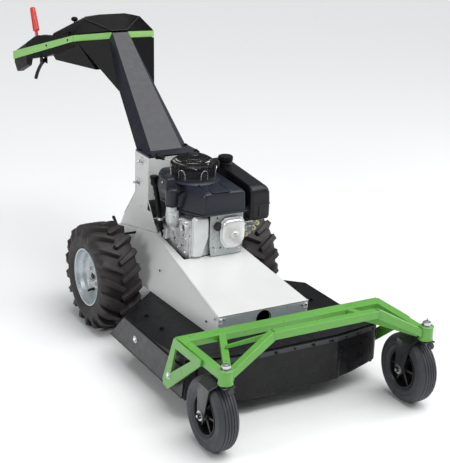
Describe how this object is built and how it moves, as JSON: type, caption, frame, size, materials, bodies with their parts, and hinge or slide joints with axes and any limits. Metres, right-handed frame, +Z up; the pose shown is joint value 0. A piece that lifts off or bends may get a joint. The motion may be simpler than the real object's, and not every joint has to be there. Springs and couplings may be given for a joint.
{
  "type": "brush mower",
  "caption": "Walk-behind rotary brush mower with lugged drive wheels, swivel casters on a tube frame, vertical-shaft engine and handle column.",
  "frame": {"origin": "on the ground under the middle of the machine", "axes": "+Z up, -Y is the way the machine travels, +X is the machine's left side; the engine's drum, the column and the casters are named right (-X) and left (+X)"},
  "size_m": [0.93, 2.2966, 1.164],
  "materials": {
    "black_steel": "satin black powder coat",
    "grey_steel": "dark grey powder coat",
    "chassis_steel": "dark grey powder coat",
    "green_paint": "semi-gloss green powder coat",
    "white_paint": "semi-gloss white powder coat",
    "red_plastic": "glossy red grip",
    "black_plastic": "black moulded plastic",
    "shroud_plastic": "blue-black moulded plastic",
    "flap_rubber": "reinforced rubber sheet",
    "grip_rubber": "matt rubber",
    "belt_rubber": "matt rubber",
    "drive_tyre": "matt tyre rubber",
    "caster_tyre": "matt tyre rubber",
    "rim_paint": "silver-grey paint",
    "caster_rim": "black moulded plastic",
    "cast_aluminium": "as cast",
    "zinc_steel": "zinc plated",
    "cast_iron": "as cast",
    "gear_grey": "as cast"
  },
  "bodies": {
    "chassis": {"deck_shell": "black_steel", "side_skirts": "grey_steel", "front_flap": "flap_rubber", "flap_strip": "grey_steel", "frame_rear_tube": "green_paint", "frame_arch": "green_paint", "frame_arm_right": "green_paint", "frame_arm_left": "green_paint", "hood": "white_paint", "tower": "white_paint", "column": "black_steel", "console_tray": "black_plastic", "console_cover": "black_plastic", "handle_arms": "black_plastic", "console_trim": "green_paint", "handle_grips": "grip_rubber", "engine_plate": "chassis_steel", "chassis_rails": "chassis_steel", "gearbox": "gear_grey", "spindle_housing": "cast_iron", "drive_belts": "belt_rubber", "crankcase": "cast_aluminium", "cylinder_head": "cast_aluminium", "head_cover": "cast_aluminium", "blower_housing": "shroud_plastic", "recoil_cover": "black_plastic", "fuel_tank": "black_plastic", "oil_tube": "black_plastic", "muffler": "zinc_steel", "heat_shield": "zinc_steel", "carburettor": "gear_grey", "starter_motor": "black_steel", "control_cables": "grip_rubber", "bolts": "zinc_steel"},
    "caster_right": {"caster_fork_right": "grey_steel"},
    "caster_left": {"caster_fork_left": "grey_steel"},
    "caster_wheel_right": {"caster_tyre_right": "caster_tyre", "caster_rim_right": "caster_rim"},
    "caster_wheel_left": {"caster_tyre_left": "caster_tyre", "caster_rim_left": "caster_rim"},
    "rear_wheel_right": {"rear_tyre_right": "drive_tyre", "rear_rim_right": "rim_paint"},
    "rear_wheel_left": {"rear_tyre_left": "drive_tyre", "rear_rim_left": "rim_paint"},
    "cutter": {"spindle": "zinc_steel", "spindle_pulley": "cast_iron", "blade_carrier": "black_steel"},
    "knife_a_body": {"knife_a": "zinc_steel"},
    "knife_b_body": {"knife_b": "zinc_steel"},
    "engine_shaft": {"crankshaft": "zinc_steel", "flywheel": "cast_iron"},
    "traction_input": {"traction_pulley": "cast_iron"},
    "idler": {"idler_arm": "zinc_steel"},
    "clutch_lever_body": {"clutch_lever": "red_plastic"},
    "drive_lever_body": {"drive_lever": "black_plastic"},
    "throttle_body": {"throttle_lever": "black_plastic"},
    "side_lever_body": {"side_lever": "black_steel"},
    "starter_handle": {"starter_grip": "black_plastic"},
    "fuel_cap_body": {"fuel_cap": "black_plastic"}
  },
  "joints": [
    {"name": "caster_swivel_right", "type": "hinge", "parent": "chassis", "child": "caster_right", "pos_m": [-0.407, -1.097, 0.29], "axis": [0, 0, 1], "continuous": true},
    {"name": "caster_spin_right", "type": "hinge", "parent": "caster_right", "child": "caster_wheel_right", "pos_m": [-0.407, -1.019, 0.13], "axis": [1, 0, 0], "continuous": true},
    {"name": "drive_wheel_right", "type": "hinge", "parent": "chassis", "child": "rear_wheel_right", "pos_m": [-0.319, 0.075, 0.216], "axis": [1, 0, 0], "continuous": true},
    {"name": "caster_swivel_left", "type": "hinge", "parent": "chassis", "child": "caster_left", "pos_m": [0.407, -1.097, 0.29], "axis": [0, 0, 1], "continuous": true},
    {"name": "caster_spin_left", "type": "hinge", "parent": "caster_left", "child": "caster_wheel_left", "pos_m": [0.407, -1.019, 0.13], "axis": [1, 0, 0], "continuous": true},
    {"name": "drive_wheel_left", "type": "hinge", "parent": "chassis", "child": "rear_wheel_left", "pos_m": [0.319, 0.075, 0.216], "axis": [1, 0, 0], "continuous": true},
    {"name": "cutter_spin", "type": "hinge", "parent": "chassis", "child": "cutter", "pos_m": [0, -0.49, 0.262], "axis": [0, 0, 1], "continuous": true},
    {"name": "knife_a_swing", "type": "hinge", "parent": "cutter", "child": "knife_a_body", "pos_m": [0, -0.78, 0.1], "axis": [0, 0, 1], "range_deg": [-80, 80]},
    {"name": "knife_b_swing", "type": "hinge", "parent": "cutter", "child": "knife_b_body", "pos_m": [0, -0.2, 0.1], "axis": [0, 0, 1], "range_deg": [-80, 80]},
    {"name": "engine_spin", "type": "hinge", "parent": "chassis", "child": "engine_shaft", "pos_m": [0, -0.085, 0.3], "axis": [0, 0, 1], "continuous": true},
    {"name": "traction_spin", "type": "hinge", "parent": "chassis", "child": "traction_input", "pos_m": [0, 0.135, 0.316], "axis": [0, 0, 1], "continuous": true},
    {"name": "idler_swing", "type": "hinge", "parent": "chassis", "child": "idler", "pos_m": [-0.104, -0.385, 0.278], "axis": [0, 0, 1], "range_deg": [-6, 0]},
    {"name": "clutch_lever_swing", "type": "hinge", "parent": "chassis", "child": "clutch_lever_body", "pos_m": [-0.23804, 0.97484, 0.96002], "axis": [1, 0, 0], "range_deg": [0, 35]},
    {"name": "drive_lever_squeeze", "type": "hinge", "parent": "chassis", "child": "drive_lever_body", "pos_m": [-0.23048, 0.94208, 0.92824], "axis": [1, 0, 0], "range_deg": [0, 20], "stiffness_Nm_per_rad": 1.2, "springref_deg": -20.05},
    {"name": "throttle_swing", "type": "hinge", "parent": "chassis", "child": "throttle_body", "pos_m": [-0.126, 0.825, 1.06], "axis": [1, 0, 0], "range_deg": [-30, 0]},
    {"name": "side_lever_swing", "type": "hinge", "parent": "chassis", "child": "side_lever_body", "pos_m": [-0.212, 0.131, 0.356], "axis": [1, 0, 0], "range_deg": [0, 30]},
    {"name": "starter_pull", "type": "slide", "parent": "chassis", "child": "starter_handle", "axis": [-0.6601, 0.7201, 0.214], "range_m": [0, 0.1], "stiffness_N_per_m": 40, "springref_m": -0.05},
    {"name": "fuel_cap_turn", "type": "hinge", "parent": "chassis", "child": "fuel_cap_body", "pos_m": [0.166, -0.05, 0.7], "axis": [0, 0, 1], "range_deg": [0, 90]}
  ],
  "couplings": [
    {"joint": "engine_spin", "follows": "cutter_spin", "ratio": 1.4},
    {"joint": "traction_spin", "follows": "cutter_spin", "ratio": 1.008},
    {"joint": "idler_swing", "follows": "clutch_lever_swing", "ratio": -0.17}
  ]
}
